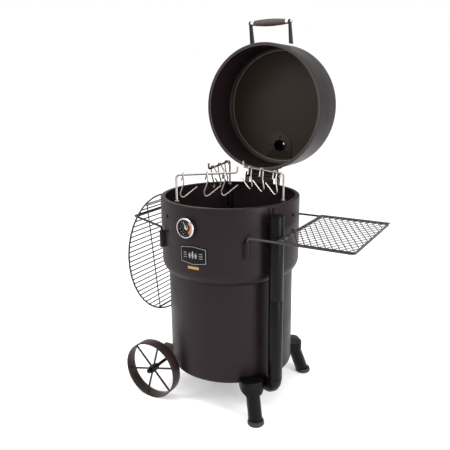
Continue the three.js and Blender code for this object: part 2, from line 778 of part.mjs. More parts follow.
// Flat tapered strap that leans from the lid wall to the handle's rod, which it is bored for.
function handleStrap(side) {
  const root = -lidR + 4;
  const tip = handleY - 8;
  const outline = [
    [root, strapLean - 16], [root, strapLean + 16], [handleY, 10.5], [tip, 7], [tip, -7], [handleY, -10.5],
  ];
  const strap = standSideways(slab(outline, -2.5, 2.5)).translate(side * strapX, 0, handleZ);
  const holeStart = point(side * (strapX - 20), handleY, handleZ);
  const hole = rod(holeStart, point(side * (strapX + 20), handleY, handleZ), handleRodR + gap, 12);
  return cut(strap, ring(0, lidR + gap, 0, 2000, 96), hole);
}

function handleRod() {
  const end = strapX + 9;
  const ferruleR = 9.5;
  const ferrules = [-1, 1].map((side) => (
    ring(0, ferruleR, strapX - 16, strapX - 4, 12).rotateX(side < 0 ? Math.PI : 0)
  ));
  return join(ring(0, handleRodR, -end, end, 12), ...ferrules).rotateY(Math.PI / 2)
    .translate(0, handleY, handleZ);
}

function handleGrip() {
  const half = strapX - 17;
  const bore = handleRodR + gap;
  const profile = [[bore, -half]];
  for (let i = 0; i <= 6; i += 1) {
    const z = -half + 2 * half * i / 6;
    profile.push([10 + 4 * Math.cos(Math.PI * z / (2 * half)), z]);
  }
  profile.push([bore, half], [bore, -half]);
  return turned(profile, 12).rotateY(Math.PI / 2).translate(0, handleY, handleZ);
}

// ---- Lid hinge ----
const hingeHalf = 72;
const pinR = 5;

function hingeDrumBracket() {
  const wrap = overlap(
    ring(collarR + gap, collarR + gap + 3, rimZ - 80, rimZ - 4, 96),
    box(2 * hingeHalf, 200, 400, point(0, collarR, rimZ)),
  );
  const ears = [-1, 1].map((side) => {
    const outline = [
      [collarR - 10, -70], [collarR + 8, -70], [hingeY + 13, hingeRise - 14],
      [hingeY + 13, hingeRise + 8], [hingeY + 8, hingeRise + 13], [hingeY - 8, hingeRise + 13],
      [hingeY - 16, hingeRise], [collarR - 10, -20],
    ];
    return standSideways(slab(outline, -2.5, 2.5)).translate(side * (hingeHalf - 2.5), 0, rimZ);
  });
  const drumSpace = ring(0, collarR + gap, 0, rimZ + 1, 96);
  const pinHole = rod(point(-100, hingeY, hingeZ), point(100, hingeY, hingeZ), pinR + gap, 12);
  return cut(join(wrap, ...ears), drumSpace, pinHole);
}

function hingeLidBracket() {
  const half = hingeHalf - 7;
  const wrap = overlap(
    ring(lidR + gap, lidR + gap + 3, rimZ + 10, rimZ + 72, 96),
    box(2 * half, 200, 400, point(0, lidR, rimZ)),
  );
  const knuckle = rod(point(-half, hingeY, hingeZ), point(half, hingeY, hingeZ), 10, 16);
  const web = box(2 * half, hingeY - lidR + 8, 5, point(0, (hingeY + lidR - 8) / 2, hingeZ));
  const upperWeb = box(2 * half, hingeY - lidR + 4, 4, point(0, (hingeY + lidR - 4) / 2, hingeZ + 8));
  // The tail swings round with the lid and stops it, open, against the drum bracket.
  const tail = box(100, 38, 5, point(0, hingeY + 24, hingeZ - 7.1));
  const lidSpace = ring(0, lidR + gap, 0, 2000, 96);
  const pinHole = rod(point(-100, hingeY, hingeZ), point(100, hingeY, hingeZ), pinR + gap, 12);
  return cut(join(wrap, knuckle, web, upperWeb, tail), lidSpace, pinHole);
}

function hingePin() {
  const end = hingeHalf + 3;
  const shaft = rod(point(-end, hingeY, hingeZ), point(end, hingeY, hingeZ), pinR, 12);
  const heads = [-1, 1].map((side) => rod(
    point(side * (hingeHalf + gap), hingeY, hingeZ), point(side * (hingeHalf + 5), hingeY, hingeZ), 8, 12,
  ));
  return join(shaft, ...heads);
}

// ---- Assembly ----
function assembleDrum() {
  place(smoker, 'drum_barrel', drumBarrel(), drumPaint);
  place(smoker, 'drum_collar', drumCollar(), drumPaint);
  place(smoker, 'intake_elbow', pipeStretch(0, elbowTopZ), blackPaint);
  place(smoker, 'intake_pipe_lower', pipeStretch(elbowTopZ + gap, pipeJointZ), blackPaint);
  place(smoker, 'intake_pipe_upper', pipeStretch(pipeJointZ + gap, rimZ), blackPaint);
  const capSpot = around(pipeAngle, pipeStandR, pipeTopZ + gap);
  const damper = damperDisc(pipeOuterR - 1).rotateZ(degrees(pipeAngle));
  place(smoker, 'intake_damper', damper.translate(capSpot.x, capSpot.y, capSpot.z), blackPaint);
  place(smoker, 'intake_bracket', intakeBracket(), blackPaint);
  place(smoker, 'thermometer_case', thermometerCase(), chrome);
  place(smoker, 'thermometer_needle', thermometerNeedle(), needlePaint);
  const lens = ring(0, thermoR - 5 - gap, 0, 2, 24);
  place(smoker, 'thermometer_lens', facing(lens, dialY - 6.5), clearGlass);
  place(smoker, 'badge_plate', curvedPlate(badgeOutline, badgeZ, 2.6), enamel);
  place(smoker, 'badge_tag', curvedPlate(tagOutline, tagZ, 1.6), brass);
  place(smoker, 'hinge_drum_bracket', hingeDrumBracket(), drumPaint);
  place(smoker, 'hinge_pin', hingePin(), steelWire);
}

function assembleUndercarriage() {
  place(smoker, 'axle', axle(), blackPaint);
  sides.forEach(([name, side]) => {
    place(smoker, `leg_${name}`, legWithBracket(legAngles[name]), blackPaint);
    place(smoker, `foot_${name}`, footCap(legAngles[name]), rubber);
    place(smoker, `axle_bracket_${name}`, axleBracket(side), wheelPaint);
    place(smoker, `wheel_${name}`, wheel().translate(wheelX, side * wheelY, axleZ), wheelPaint);
  });
}

function assembleAccessories() {
  place(smoker, 'shelf_frame', shelfFrame(), rodCoat);
  place(smoker, 'shelf_mesh', shelfMesh(), rodCoat);
  place(smoker, 'hanger_rod', hangerRod(), blackPaint);
  place(smoker, 'cooking_grate', cookingGrate(), rodCoat);
  ['shelf', 'hanger'].forEach((kind) => {
    const angle = sleeveAngles[kind];
    place(smoker, `${kind}_sleeve_front`, sleeve(angle), drumPaint);
    place(smoker, `${kind}_sleeve_rear`, sleeve(180 - angle), drumPaint);
  });
}

function assembleInside() {
  place(smoker, 'ash_pan', ashPan(), enamel);
  place(smoker, 'charcoal_basket', charcoalBasket(), enamel);
  place(smoker, 'basket_bail', basketBail(), rodCoat);
  place(smoker, 'heat_diffuser', heatDiffuser(), enamel);
  bars.forEach((bar) => {
    place(smoker, `bar_${bar.name}`, hangingBar(bar).body, steelWire);
    place(smoker, `bar_bracket_${bar.name}`, barBracket(bar), blackPaint);
    bar.hooks.forEach((station, i) => {
      place(smoker, `hook_${bar.name}_${i + 1}`, meatHook(bar, station), steelWire);
    });
  });
}

function assembleLid() {
  place(lidInner, 'lid_shell', lidShell(), drumPaint);
  const sealLow = lidSeatZ - gap - gasketThickness;
  place(lidInner, 'lid_gasket', ring(237.6, lidR - 0.6, sealLow, lidSeatZ - gap, drumSides), ropeSeal);
  place(lidInner, 'exhaust_stack', exhaustStack(), blackPaint);
  place(lidInner, 'exhaust_doubler', exhaustDoubler(), blackPaint);
  const damper = damperDisc(exhaustBoreR + 2).translate(0, exhaustY, lidTopZ + 2 * gap + stackHeight);
  place(lidInner, 'exhaust_damper', damper, blackPaint);
  [['left', -1], ['right', 1]].forEach(([name, side]) => {
    place(lidInner, `handle_strap_${name}`, handleStrap(side), drumPaint);
  });
  place(lidInner, 'handle_rod', handleRod(), chrome);
  place(lidInner, 'handle_grip', handleGrip(), gripBrown);
  place(lidInner, 'hinge_lid_bracket', hingeLidBracket(), drumPaint);
}

assembleDrum();
assembleUndercarriage();
assembleAccessories();
assembleInside();
assembleLid();

// The lid swings back round the hinge pin.
lidInner.position.set(0, -hingeY, -hingeZ);
const lid = new THREE.Group();
lid.add(lidInner);
lid.position.set(0, hingeY, hingeZ);
lid.rotation.x = -lidOpen;
smoker.add(lid);

// The origin is the bottom centre of the whole object's box.
smoker.updateMatrixWorld(true);
const extent = new THREE.Box3().setFromObject(smoker, true);
const middle = extent.getCenter(new THREE.Vector3());
smoker.position.set(-middle.x, -middle.y, -extent.min.z);

export default smoker;
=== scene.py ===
import json
import math

import bmesh
import bpy
from mathutils import Matrix, Vector


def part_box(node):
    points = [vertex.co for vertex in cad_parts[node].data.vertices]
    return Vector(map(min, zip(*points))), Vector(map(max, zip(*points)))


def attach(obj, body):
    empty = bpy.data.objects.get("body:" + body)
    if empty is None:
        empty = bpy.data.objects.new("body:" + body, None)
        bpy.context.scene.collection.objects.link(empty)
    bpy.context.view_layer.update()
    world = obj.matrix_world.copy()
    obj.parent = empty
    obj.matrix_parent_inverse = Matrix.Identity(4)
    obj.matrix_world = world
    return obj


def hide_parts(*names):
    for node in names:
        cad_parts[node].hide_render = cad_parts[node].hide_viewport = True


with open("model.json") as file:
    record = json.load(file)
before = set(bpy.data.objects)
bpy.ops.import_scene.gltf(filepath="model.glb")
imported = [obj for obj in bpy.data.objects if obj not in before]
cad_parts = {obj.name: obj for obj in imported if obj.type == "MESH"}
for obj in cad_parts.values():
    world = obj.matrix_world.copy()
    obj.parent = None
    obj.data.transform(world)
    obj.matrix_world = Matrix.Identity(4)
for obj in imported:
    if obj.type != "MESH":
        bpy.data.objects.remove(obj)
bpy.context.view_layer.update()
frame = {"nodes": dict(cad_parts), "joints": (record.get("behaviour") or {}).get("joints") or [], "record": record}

# Looks for the charcoal drum smoker. Metres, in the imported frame: +Z up, front -Y, shelf +X, wheels -X.

# ---- Places and sizes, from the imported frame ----
JOINTS = {joint["name"]: joint for joint in frame["joints"]}

collar_low, collar_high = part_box("drum_collar")
barrel_low, barrel_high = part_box("drum_barrel")
DRUM = Vector(((collar_low.x + collar_high.x) / 2, (collar_low.y + collar_high.y) / 2, 0))
COLLAR_R = (collar_high.x - collar_low.x) / 2
BARREL_R = (barrel_high.x - barrel_low.x) / 2
RIM_Z = collar_high.z
DRUM_BOTTOM_Z = barrel_low.z
SHEET = 0.002
MOUTH_R = 0.237  # inner edge of the turned-in rim
SHOULDER_LOW_Z = collar_low.z
SHOULDER_LENGTH = 0.042
FLOOR_RISE = 0.017
AIR_HOLE_OUT = 0.186  # from the drum's axis to the middle of the air hole
AIR_HOLE_R = 0.025

LID_HINGE = Vector(JOINTS["lid_hinge"]["pos_m"])
LID_OPEN = math.radians(JOINTS["lid_hinge"]["range_deg"][1])
LID_R = (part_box("lid_shell")[1].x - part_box("lid_shell")[0].x) / 2
LID_FLANGE_R = LID_R - 0.012
LID_SEAT_Z = RIM_Z + 0.0048
LID_DEPTH = 0.182
LID_TOP_Z = LID_SEAT_Z + LID_DEPTH
EXHAUST_Y = 0.163  # from the drum's axis to the middle of the exhaust's bore
EXHAUST_R = 0.025

SHARP_EDGE = math.radians(28)  # edges that turn more than this stay crisp

# Moves a shape drawn on the shut lid, with the drum's axis at x = y = 0, to where the open lid stands.
LID_PLACE = (
    Matrix.Translation(LID_HINGE)
    @ Matrix.Rotation(-LID_OPEN, 4, "X")
    @ Matrix.Translation(DRUM - LID_HINGE)
)
DRUM_PLACE = Matrix.Translation(DRUM)


# ---- Mesh helpers ----
def arc(centre_x, centre_y, radius, start, end, steps):
    """Points on an arc, angles in degrees, both ends included."""
    points = []
    for i in range(steps + 1):
        angle = math.radians(start + (end - start) * i / steps)
        points.append((centre_x + radius * math.cos(angle), centre_y + radius * math.sin(angle)))
    return points


def around(angle, radius, z):
    """Point round the drum's axis, its angle in degrees from the front towards the shelf."""
    turn = math.radians(angle)
    return Vector((radius * math.sin(turn), -radius * math.cos(turn), z))


def lathe(profile, segments=160):
    """Profile of (radius, z) points turned round Z; radius 0 closes an end."""
    vertices, faces, rings = [], [], []
    for radius, z in profile:
        count = 1 if radius < 1e-6 else segments
        rings.append([len(vertices) + i for i in range(count)])
        for i in range(count):
            turn = 2 * math.pi * i / segments
            vertices.append(Vector((radius * math.cos(turn), radius * math.sin(turn), z)))
    for near, far in zip(rings, rings[1:]):
        for i in range(segments):
            j = (i + 1) % segments
            corners = (near[i % len(near)], near[j % len(near)], far[j % len(far)], far[i % len(far)])
            face = list(dict.fromkeys(corners))
            if len(face) > 2:
                faces.append(face)
    return vertices, faces


def tube(points, radius, sides=14):
    """Round wire or tube along points, with flat ends."""
    vertices, faces = [], []
    ahead = (points[1] - points[0]).normalized()
    side = ahead.orthogonal().normalized()
    for i, place in enumerate(points):
        before = points[max(i - 1, 0)]
        after = points[min(i + 1, len(points) - 1)]
        ahead = (after - before).normalized()
        side = (side - ahead * side.dot(ahead)).normalized()
        other = ahead.cross(side)
        for k in range(sides):
            turn = 2 * math.pi * k / sides
            vertices.append(place + radius * (math.cos(turn) * side + math.sin(turn) * other))
    for i in range(len(points) - 1):
        for k in range(sides):
            j = (k + 1) % sides
            low, high = i * sides, (i + 1) * sides
            faces.append([low + k, low + j, high + j, high + k])
    last = (len(points) - 1) * sides
    faces.append(list(range(sides)))
    faces.append([last + k for k in range(sides)])
    return vertices, faces


def smooth_path(corners, bend, steps=6):
    """Corner points rounded with quadratic bends that start a set distance from each corner."""
    path = [corners[0]]
    for before, corner, after in zip(corners, corners[1:], corners[2:]):
        reach = min(bend, (before - corner).length / 2.01, (after - corner).length / 2.01)
        start = corner + (before - corner).normalized() * reach
        end = corner + (after - corner).normalized() * reach
        for i in range(steps + 1):
            t = i / steps
            path.append((1 - t) ** 2 * start + 2 * t * (1 - t) * corner + t ** 2 * end)
    path.append(corners[-1])
    return path


def curved_plate(half_width, low, high, inner_r, thickness, steps=24):
    """Plate wrapped round the front of the drum; low and high give its edges' heights at each x."""
    vertices, faces = [], []
    for i in range(steps + 1):
        x = half_width * (2 * i / steps - 1)
        angle = math.degrees(x / inner_r)
        for radius, z in [(inner_r, low(x)), (inner_r + thickness, low(x)),
                          (inner_r + thickness, high(x)), (inner_r, high(x))]:
            vertices.append(around(angle, radius, z))
    for i in range(steps):
        for k in range(4):
            j = (k + 1) % 4
            faces.append([4 * i + k, 4 * i + j, 4 * i + 4 + j, 4 * i + 4 + k])
    faces.append([0, 1, 2, 3])
    faces.append([4 * steps + k for k in range(4)])
    return vertices, faces


def merged(*shapes):
    """Several vertex and face lists as one."""
    vertices, faces = [], []
    for more_vertices, more_faces in shapes:
        start = len(vertices)
        vertices.extend(more_vertices)
        faces.extend([[start + i for i in face] for face in more_faces])
    return vertices, faces


def smooth_shading():
    """Node group that shades every face smooth and keeps the sharp edges crisp."""
    tree = bpy.data.node_groups.new("smooth_shading", "GeometryNodeTree")
    tree.interface.new_socket("Geometry", in_out="INPUT", socket_type="NodeSocketGeometry")
    tree.interface.new_socket("Geometry", in_out="OUTPUT", socket_type="NodeSocketGeometry")
    start = tree.nodes.new("NodeGroupInput")
    end = tree.nodes.new("NodeGroupOutput")
    faces = tree.nodes.new("GeometryNodeSetShadeSmooth")
    faces.domain = "FACE"
    edges = tree.nodes.new("GeometryNodeSetShadeSmooth")
    edges.domain = "EDGE"
    angle = tree.nodes.new("GeometryNodeInputMeshEdgeAngle")
    compare = tree.nodes.new("FunctionNodeCompare")
    compare.data_type = "FLOAT"
    compare.operation = "LESS_THAN"
    compare.inputs["B"].default_value = SHARP_EDGE
    tree.links.new(start.outputs[0], faces.inputs["Geometry"])
    tree.links.new(faces.outputs[0], edges.inputs["Geometry"])
    tree.links.new(angle.outputs["Unsigned Angle"], compare.inputs["A"])
    tree.links.new(compare.outputs[0], edges.inputs["Shade Smooth"])
    tree.links.new(edges.outputs[0], end.inputs[0])
    return tree


SMOOTH = smooth_shading()


def finish_edges(obj, bevel):
    """Joins split vertices, rounds sharp edges by the bevel, and shades the rest smooth."""
    weld = obj.modifiers.new("weld", "WELD")
    weld.merge_threshold = 2e-5
    if bevel:
        rounding = obj.modifiers.new("bevel", "BEVEL")
        rounding.width = bevel
        rounding.segments = 2
        rounding.limit_method = "ANGLE"
        rounding.angle_limit = SHARP_EDGE
    shading = obj.modifiers.new("smooth", "NODES")
    shading.node_group = SMOOTH


def closed_mesh(name, shape, place, join=0.0):
    """Mesh from (vertices, faces) with its faces turned outwards; points closer than join become one."""
    vertices, faces = shape
    mesh = bpy.data.meshes.new(name)
    mesh.from_pydata([place @ v for v in vertices], [], faces)
    edit = bmesh.new()
    edit.from_mesh(mesh)
    if join:
        bmesh.ops.remove_doubles(edit, verts=edit.verts, dist=join)
    bmesh.ops.recalc_face_normals(edit, faces=edit.faces)
    edit.to_mesh(mesh)
    edit.free()
    return mesh


def make_piece(name, shape, material, body, replaced=(), place=DRUM_PLACE, bevel=0.0):
    """New piece from (vertices, faces), moved into place and riding on a body."""
    mesh = closed_mesh(name, shape, place, 1e-6)
    mesh.materials.append(material)
    obj = bpy.data.objects.new(name, mesh)
    bpy.context.scene.collection.objects.link(obj)
    finish_edges(obj, bevel)
    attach(obj, body)
    if replaced:
        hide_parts(*replaced)
    return obj


def carve(obj, shape, place=DRUM_PLACE):
    """Applies the first of a piece's modifiers, then cuts a closed shape out of it."""
    cutter = bpy.data.objects.new("cutter", closed_mesh("cutter", shape, place))
    bpy.context.scene.collection.objects.link(cutter)
    cutting = obj.modifiers.new("carve", "BOOLEAN")
    cutting.operation = "DIFFERENCE"
    cutting.solver = "EXACT"
    cutting.object = cutter
    obj.modifiers.move(len(obj.modifiers) - 1, 1)
    with bpy.context.temp_override(object=obj, active_object=obj):
        bpy.ops.object.modifier_apply(modifier=obj.modifiers[0].name)
        bpy.ops.object.modifier_apply(modifier="carve")
    bpy.data.objects.remove(cutter)


# ---- Materials ----
def surface(name, color, roughness, metallic=0.0, specular=0.5, mottle=0.18, mottle_scale=7.0,
            grain=0.12, grain_scale=700.0, roughness_spread=0.08, streak=1.0, coat=0.0):
    """Paint, metal or plastic with patchy colour and gloss and a fine grain in its surface."""
    material = bpy.data.materials.new(name)
    material.use_nodes = True
    nodes, links = material.node_tree.nodes, material.node_tree.links
    shader = nodes["Principled BSDF"]
    shader.inputs["Metallic"].default_value = metallic
    shader.inputs["Specular IOR Level"].default_value = specular
    shader.inputs["Coat Weight"].default_value = coat
    shader.inputs["Coat Roughness"].default_value = 0.12
    coords = nodes.new("ShaderNodeTexCoord")
    stretch = nodes.new("ShaderNodeMapping")
    stretch.inputs["Scale"].default_value = (1.0, 1.0, streak)
    links.new(coords.outputs["Object"], stretch.inputs["Vector"])

    patches = nodes.new("ShaderNodeTexNoise")
    patches.inputs["Scale"].default_value = mottle_scale
    patches.inputs["Detail"].default_value = 5.0
    patches.inputs["Roughness"].default_value = 0.6
    links.new(stretch.outputs["Vector"], patches.inputs["Vector"])
    tint = nodes.new("ShaderNodeMix")
    tint.data_type = "RGBA"
    tint.inputs["A"].default_value = (*[c * (1 - mottle) for c in color], 1)
    tint.inputs["B"].default_value = (*[c * (1 + mottle) for c in color], 1)
    links.new(patches.outputs["Fac"], tint.inputs["Factor"])
    links.new(tint.outputs["Result"], shader.inputs["Base Color"])

    gloss = nodes.new("ShaderNodeMapRange")
    gloss.inputs["From Min"].default_value = 0.3
    gloss.inputs["From Max"].default_value = 0.7
    gloss.inputs["To Min"].default_value = max(roughness - roughness_spread, 0.02)
    gloss.inputs["To Max"].default_value = min(roughness + roughness_spread, 1.0)
    links.new(patches.outputs["Fac"], gloss.inputs["Value"])
    links.new(gloss.outputs["Result"], shader.inputs["Roughness"])

    fine = nodes.new("ShaderNodeTexNoise")
    fine.inputs["Scale"].default_value = grain_scale
    fine.inputs["Detail"].default_value = 2.0
    links.new(stretch.outputs["Vector"], fine.inputs["Vector"])
    bump = nodes.new("ShaderNodeBump")
    bump.inputs["Strength"].default_value = grain
    bump.inputs["Distance"].default_value = 0.0004
    links.new(fine.outputs["Fac"], bump.inputs["Height"])
    links.new(bump.outputs["Normal"], shader.inputs["Normal"])
    return material


def glass(name):
    """Clear glass thin enough to see straight through."""
    material = bpy.data.materials.new(name)
    material.use_nodes = True
    nodes, links = material.node_tree.nodes, material.node_tree.links
    clear = nodes.new("ShaderNodeBsdfTransparent")
    gloss = nodes.new("ShaderNodeBsdfGlossy")
    gloss.inputs["Roughness"].default_value = 0.04
    rim = nodes.new("ShaderNodeFresnel")
    rim.inputs["IOR"].default_value = 1.10
    mix = nodes.new("ShaderNodeMixShader")
    links.new(rim.outputs["Fac"], mix.inputs["Fac"])
    links.new(clear.outputs["BSDF"], mix.inputs[1])
    links.new(gloss.outputs["BSDF"], mix.inputs[2])
    links.new(mix.outputs["Shader"], nodes["Material Output"].inputs["Surface"])
    return material


DRUM_PAINT = surface("drum_paint", (0.0098, 0.0054, 0.0064), 0.42, specular=0.13, mottle=0.12)
LID_INSIDE = surface("lid_inside", (0.0200, 0.0130, 0.0085), 0.50, specular=0.16, mottle=0.22)
LID_FLANGE = surface("lid_flange", (0.030, 0.021, 0.019), 0.45, specular=0.3, mottle=0.12)
# Painted highlight: pale paint on the lid's bead for the bright reflection along its inner corner.
LID_BEAD_HIGHLIGHT = surface("lid_bead_highlight", (0.150, 0.120, 0.100), 0.32, specular=0.5, mottle=0.15)
BLACK_PAINT = surface("black_paint", (0.0018, 0.0017, 0.0018), 0.34, specular=0.10)
WHEEL_PAINT = surface("wheel_paint", (0.016, 0.0075, 0.0070), 0.46, specular=0.30)
ROD_COAT = surface("rod_coat", (0.022, 0.018, 0.019), 0.42, specular=0.30)
STEEL_WIRE = surface("steel_wire", (0.33, 0.29, 0.28), 0.30, metallic=1.0, mottle=0.1, streak=0.2)
# Painted shade: a darker copy of the steel wire for the rear bar and hooks, which stand in the drum's shadow.
SHADED_WIRE = surface("dark_wire", (0.16, 0.13, 0.12), 0.38, metallic=1.0, mottle=0.2, streak=0.2)
CHROME = surface("chrome", (0.46, 0.44, 0.43), 0.16, metallic=1.0, mottle=0.04, grain=0.02,
                 roughness_spread=0.03)
BRASS = surface("brass", (0.32, 0.20, 0.075), 0.42, metallic=0.7, mottle=0.12)
GRIP = surface("grip", (0.026, 0.014, 0.012), 0.55, mottle=0.25, mottle_scale=40, streak=0.3)
ROPE_SEAL = surface("rope_seal", (0.03, 0.026, 0.022), 0.9, mottle=0.4, mottle_scale=160, grain=0.6,
                    grain_scale=420)
DIAL_FACE = surface("dial_face", (0.012, 0.012, 0.013), 0.6, specular=0.1, mottle=0.1)
DIAL_AMBER = surface("dial_amber", (0.38, 0.15, 0.05), 0.5, mottle=0.12, mottle_scale=60)
DIAL_WHITE = surface("dial_white", (0.55, 0.53, 0.50), 0.5, mottle=0.05)
ENAMEL = surface("enamel", (0.004, 0.004, 0.0043), 0.42, specular=0.08, mottle=0.3, mottle_scale=90)
BADGE_SILVER = surface("badge_silver", (0.24, 0.22, 0.22), 0.40, metallic=0.6, mottle=0.08)
RUBBER = surface("rubber", (0.012, 0.012, 0.012), 0.75, mottle=0.3, grain=0.3, grain_scale=500)
GLASS = glass("glass")

SLOT_MATERIALS = {
    "drum_paint": DRUM_PAINT,
    "black_paint": BLACK_PAINT,
    "wheel_paint": WHEEL_PAINT,
    "rod_coat": ROD_COAT,
    "steel_wire": STEEL_WIRE,
    "chrome": CHROME,
    "brass": BRASS,
    "grip": GRIP,
    "rope_seal": ROPE_SEAL,
    "needle": DIAL_WHITE,
    "glass": GLASS,
    "enamel": ENAMEL,
    "rubber": RUBBER,
}


def dress_cad_nodes():
    """Gives each CAD node its slot's material, the rear bar and hooks a painted-shade wire, and softens edges but
    not fine wire's.
    """
    slots = {row["node"]: row["material_slot"] for row in frame["record"]["subparts"]}
    fine_wire = {"cooking_grate", "shelf_mesh"}
    bevel = 0.0006
    for name, obj in frame["nodes"].items():
        material = SLOT_MATERIALS[slots[name]]
        # The rear bar and its hooks get the painted-shade copy of the wire.
        if name.startswith(("bar_rear", "hook_rear")):
            material = SHADED_WIRE
        if name == "exhaust_doubler":
            material = LID_INSIDE
        obj.data.materials.clear()
        obj.data.materials.append(material)
        finish_edges(obj, 0.0 if name in fine_wire else bevel)


# ---- Drum ----
def shoulder(offset, steps=10):
    """Flared curve from the barrel out to the collar, as (radius, z) points moved in by the offset."""
    sweep = math.radians(65)
    radius_x = (COLLAR_R - BARREL_R) / (1 - math.cos(sweep))
    radius_z = SHOULDER_LENGTH / math.sin(sweep)
    points = []
    for i in range(steps + 1):
        turn = sweep * (i / steps - 1)
        x = COLLAR_R - offset - radius_x * (1 - math.cos(turn))
        points.append((x, SHOULDER_LOW_Z + SHOULDER_LENGTH + radius_z * math.sin(turn)))
    return points


def build_barrel():
    """Floor, straight wall and rolled foot, open at the top, with the intake pipe's notch and air hole."""
    wall_r = BARREL_R - SHEET
    floor_z = DRUM_BOTTOM_Z + FLOOR_RISE
    top_z = barrel_high.z
    chime_r = 0.014
    chime = (BARREL_R - chime_r, DRUM_BOTTOM_Z + chime_r)
    corner = 0.004
    profile = [
        (0, floor_z - SHEET),
        (wall_r - corner, floor_z - SHEET),
        (wall_r, floor_z - SHEET - corner / 4),
        *arc(*chime, chime_r - SHEET, 0, -90, 6),
        *arc(*chime, chime_r, -90, 0, 8),
        (BARREL_R, DRUM_BOTTOM_Z + 2 * chime_r),
        (BARREL_R, top_z),
        (wall_r, top_z),
        (wall_r, floor_z + corner),
        (wall_r - corner, floor_z),
        (0, floor_z),
    ]
    wall = make_piece("barrel_wall", lathe(profile), DRUM_PAINT, "drum", ["drum_barrel"])
    pipe_low, pipe_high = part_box("intake_pipe_lower")
    pipe = (pipe_low + pipe_high) / 2 - DRUM
    pipe_r = (pipe_high.x - pipe_low.x) / 2
    under_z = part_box("intake_elbow")[0].z + pipe_r
    pipe_angle = math.degrees(math.atan2(pipe.x, -pipe.y))
    notch_gap = 0.0015
    past_wall = 0.03
    notch = [around(pipe_angle, radius, under_z) for radius in (AIR_HOLE_OUT, BARREL_R + past_wall)]
    carve(wall, tube(notch, pipe_r + notch_gap, 32))
    air_hole = [around(pipe_angle, AIR_HOLE_OUT, floor_z + rise) for rise in (-0.008, 0.004)]
    carve(wall, tube(air_hole, AIR_HOLE_R, 32))


def build_collar():
    """Wider upper wall with a lip turned in at the rim; the profile ends where it starts."""
    rim_r = 0.0035
    half = SHEET / 2
    wall_top = 0.02
    profile = [
        *shoulder(0),
        (COLLAR_R, RIM_Z - wall_top),
        *arc(COLLAR_R - rim_r, RIM_Z - rim_r, rim_r, 0, 90, 5),
        *arc(MOUTH_R + half, RIM_Z - half, half, 90, 270, 4),
        (COLLAR_R - SHEET, RIM_Z - SHEET),
        *reversed(shoulder(SHEET)),
        shoulder(0)[0],
    ]
    make_piece("collar_wall", lathe(profile), DRUM_PAINT, "drum", ["drum_collar"])


# ---- Lid ----
def paint_lid_inside(shell, bead_r):
    """Gives the flange and the flat inside of the lid paints of their own, and the bead a pale paint that is a
    painted highlight.
    """
    index = {}
    for material in (LID_INSIDE, LID_FLANGE, LID_BEAD_HIGHLIGHT):
        index[material.name] = len(shell.data.materials)
        shell.data.materials.append(material)
    highlight_reach = 0.0022
    skin_r = LID_R - SHEET / 2
    shut = LID_PLACE.inverted()
    for face in shell.data.polygons:
        spot = shut @ face.center
        radius = math.hypot(spot.x, spot.y)
        if radius >= skin_r:
            continue
        if spot.z < LID_SEAT_Z + SHEET / 2:
            face.material_index = index["lid_flange"]
        elif spot.z < LID_TOP_Z - SHEET / 2:
            # A band round the bead gets the pale paint of the painted highlight.
            if abs(radius - bead_r) < highlight_reach:
                face.material_index = index["lid_bead_highlight"]
            elif radius < bead_r:
                face.material_index = index["lid_inside"]


def build_lid():
    """Pan with a turned-in flange, a bead round its flat top and the exhaust's bore, and its seal."""
    corner_r = 0.020
    corner_gap = 0.004
    bead_half = 0.0015
    bead_height = 0.0014
    bead_step = 0.0002
    wall_r = LID_R - SHEET
    centre_r = LID_R - corner_r
    centre_z = LID_TOP_Z - corner_r
    inside_z = LID_TOP_Z - SHEET
    plain_r = EXHAUST_Y + 0.058
    profile = [
        (0, inside_z),
        (plain_r, inside_z),
        (centre_r - corner_gap, inside_z),
        (centre_r - bead_half, inside_z - bead_height),
        (centre_r + bead_half, inside_z - bead_height),
        (centre_r + 2 * bead_half, inside_z - bead_step),
        *arc(centre_r, centre_z, corner_r - SHEET - bead_step, 78, 0, 8),
        (wall_r, centre_z - corner_gap),
        (wall_r, LID_SEAT_Z + SHEET),
        *arc(LID_FLANGE_R + SHEET / 2, LID_SEAT_Z + SHEET / 2, SHEET / 2, 90, 270, 4),
        *arc(LID_R - SHEET, LID_SEAT_Z + SHEET, SHEET, 270, 360, 4),
        (LID_R, centre_z - corner_gap),
        *arc(centre_r, centre_z, corner_r, 0, 90, 10),
        (centre_r - corner_gap, LID_TOP_Z),
        (plain_r, LID_TOP_Z),
        (0, LID_TOP_Z),
    ]
    shell = make_piece("lid_wall", lathe(profile), DRUM_PAINT, "lid", ["lid_shell"], LID_PLACE)
    through = [Vector((0, EXHAUST_Y, LID_TOP_Z + rise)) for rise in (-0.01, 0.01)]
    carve(shell, tube(through, EXHAUST_R, 48), LID_PLACE)
    paint_lid_inside(shell, centre_r)

    seal_r = 0.0019
    seal_gap = 0.0004
    seal_inset = 0.0034
    seal = lathe(arc(LID_R - seal_inset, LID_SEAT_Z - seal_gap - seal_r, seal_r, 0, 360, 12))
    make_piece("lid_seal", seal, ROPE_SEAL, "lid", ["lid_gasket"], LID_PLACE)


def build_grip():
    """Barrel-shaped grip with shallow turned grooves."""
    low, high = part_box("handle_grip")
    middle = (low + high) / 2
    half = (high.x - low.x) / 2
    widest = (high.z - low.z) / 2
    end_r = widest - 0.005
    bore = 0.0054
    swell = 0.004
    groove = 0.0005
    steps = 28
    steps_per_groove = 7
    profile = [(bore, -half), (end_r, -half)]
    for i in range(1, steps):
        z = half * (2 * i / steps - 1)
        belly = widest - swell + swell * math.cos(math.pi * z / (2 * half))
        depth = groove if i % steps_per_groove == 0 else 0.0
        profile.append((belly - depth, z))
    profile += [(end_r, half), (bore, half), (bore, -half)]
    place = Matrix.Translation(middle) @ Matrix.Rotation(math.pi / 2, 4, "Y")
    make_piece("grip_barrel", lathe(profile, 40), GRIP, "lid", ["handle_grip"], place)


